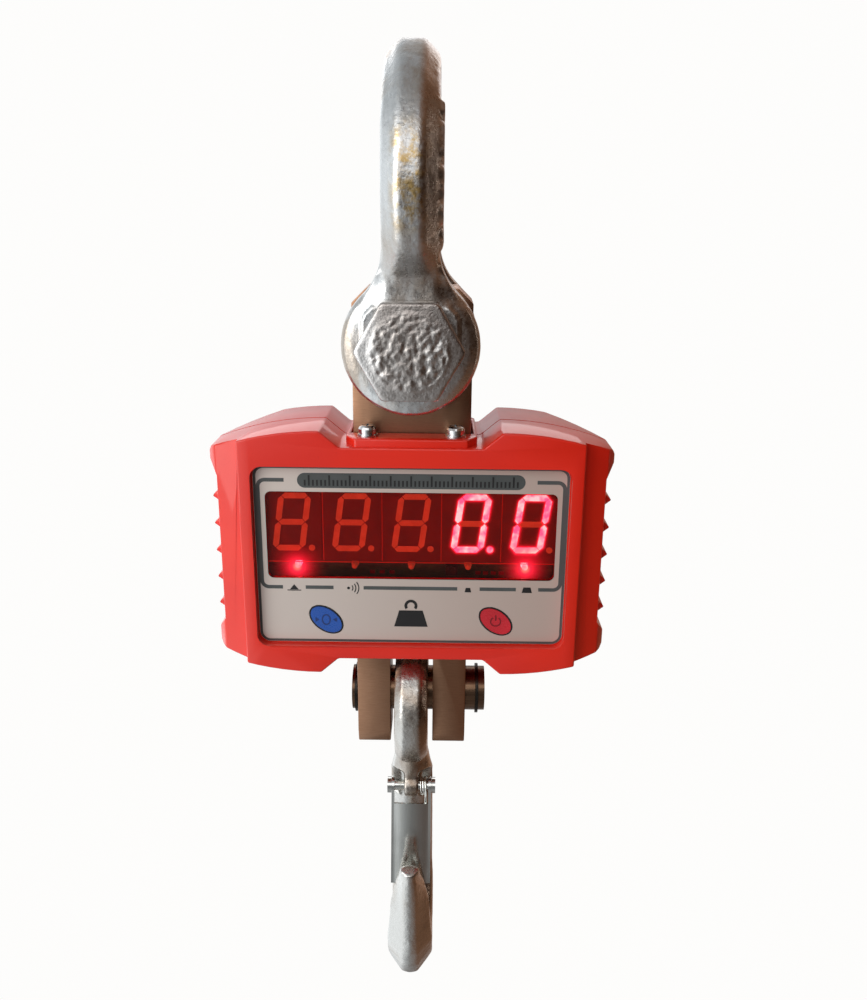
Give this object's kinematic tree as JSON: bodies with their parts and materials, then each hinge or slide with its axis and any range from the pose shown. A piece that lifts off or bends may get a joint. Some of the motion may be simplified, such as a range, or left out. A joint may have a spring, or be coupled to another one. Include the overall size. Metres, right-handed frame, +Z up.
{
  "type": "crane scale",
  "caption": "Hanging crane scale: bow shackle, load cell in a red two-half casing with a red digit window and two keys, clevis pin and eye hook with a sprung latch.",
  "frame": {"origin": "inner crown of the shackle's bow, where a crane hook carries the scale", "axes": "+Z up, the display faces -Y, +X to the reader's right"},
  "size_m": [0.2, 0.1408, 0.507],
  "materials": {
    "galvanised_steel": "rough forged and galvanised",
    "bright_steel": "bright zinc plating",
    "cell_steel": "machined and nickel plated, satin",
    "pin_steel": "turned, oiled",
    "black_steel": "blackened",
    "red_paint": "glossy enamel on a die casting",
    "black_rubber": "matte",
    "panel_film": "silver-grey printed film",
    "red_lens": "clear dark red acrylic",
    "blue_key": "printed film",
    "red_key": "printed film",
    "black_plastic": "moulded",
    "white_plastic": "moulded",
    "board_green": "solder mask",
    "dark_housing": "moulded",
    "lit_red": "glowing",
    "unlit_red": "translucent, unlit",
    "gold_foil": "etched foil and plated brass",
    "battery_wrap": "shrink film",
    "plate_aluminium": "blank satin plate"
  },
  "bodies": {
    "shackle": {"shackle_bow": "galvanised_steel", "shackle_bolt": "galvanised_steel", "shackle_nut": "galvanised_steel", "shackle_cotter": "bright_steel"},
    "scale_body": {"cover_screws": "bright_steel", "flat_washers": "bright_steel", "spring_washers": "bright_steel", "casing_screws": "bright_steel", "cell_bolts": "bright_steel", "board_screws": "bright_steel", "gauge_covers": "bright_steel", "load_cell": "cell_steel", "front_casing": "red_paint", "rear_casing": "red_paint", "top_cover": "red_paint", "casing_gasket": "black_rubber", "cover_seals": "black_rubber", "signal_cable": "black_rubber", "battery_cable": "black_rubber", "front_panel": "panel_film", "display_window": "red_lens", "key_switches": "black_plastic", "infrared_receiver": "black_plastic", "charging_socket": "black_plastic", "board_parts": "black_plastic", "cable_gland": "black_plastic", "board_connectors": "white_plastic", "display_board": "board_green", "main_board": "board_green", "digit_housings": "dark_housing", "lit_segments": "lit_red", "lit_indicators": "lit_red", "unlit_segments": "unlit_red", "unlit_indicators": "unlit_red", "strain_gauges": "gold_foil", "board_standoffs": "gold_foil", "battery_pack": "battery_wrap"},
    "clevis_pin": {"clevis_pin": "pin_steel", "clevis_circlips": "black_steel"},
    "hook": {"hook_body": "galvanised_steel", "latch_pin": "bright_steel"},
    "latch": {"hook_latch": "bright_steel", "latch_spring": "bright_steel"},
    "zero_button": {"zero_button": "blue_key"},
    "power_button": {"power_button": "red_key"},
    "battery_door": {"battery_door": "red_paint", "door_seal": "black_rubber", "rating_plate": "plate_aluminium"},
    "left_thumb_screw": {"left_thumb_screw": "bright_steel"},
    "right_thumb_screw": {"right_thumb_screw": "bright_steel"}
  },
  "joints": [
    {"name": "bolt_swing", "type": "hinge", "parent": "shackle", "child": "scale_body", "pos_m": [0, 0, -0.1065], "axis": [0, 1, 0], "range_deg": [-90, 90]},
    {"name": "clevis_pin_turn", "type": "hinge", "parent": "scale_body", "child": "clevis_pin", "pos_m": [0, 0, -0.3], "axis": [1, 0, 0], "continuous": true},
    {"name": "hook_swing", "type": "hinge", "parent": "scale_body", "child": "hook", "pos_m": [0, 0, -0.3], "axis": [1, 0, 0], "range_deg": [-40, 40]},
    {"name": "latch_open", "type": "hinge", "parent": "hook", "child": "latch", "pos_m": [0, -0.009, -0.357], "axis": [1, 0, 0], "range_deg": [0, 21], "stiffness_Nm_per_rad": 0.04, "springref_deg": -45.84},
    {"name": "zero_press", "type": "slide", "parent": "scale_body", "child": "zero_button", "axis": [0, 1, 0], "range_m": [0, 0.0005], "stiffness_N_per_m": 1500, "springref_m": -0.0004},
    {"name": "power_press", "type": "slide", "parent": "scale_body", "child": "power_button", "axis": [0, 1, 0], "range_m": [0, 0.0005], "stiffness_N_per_m": 1500, "springref_m": -0.0004},
    {"name": "door_pull", "type": "slide", "parent": "scale_body", "child": "battery_door", "axis": [0, 1, 0], "range_m": [0, 0.04]},
    {"name": "left_thumb_turn", "type": "hinge", "parent": "battery_door", "child": "left_thumb_screw", "pos_m": [-0.037, 0.031, -0.214], "axis": [0, 1, 0], "continuous": true},
    {"name": "right_thumb_turn", "type": "hinge", "parent": "battery_door", "child": "right_thumb_screw", "pos_m": [0.037, 0.031, -0.214], "axis": [0, 1, 0], "continuous": true}
  ]
}
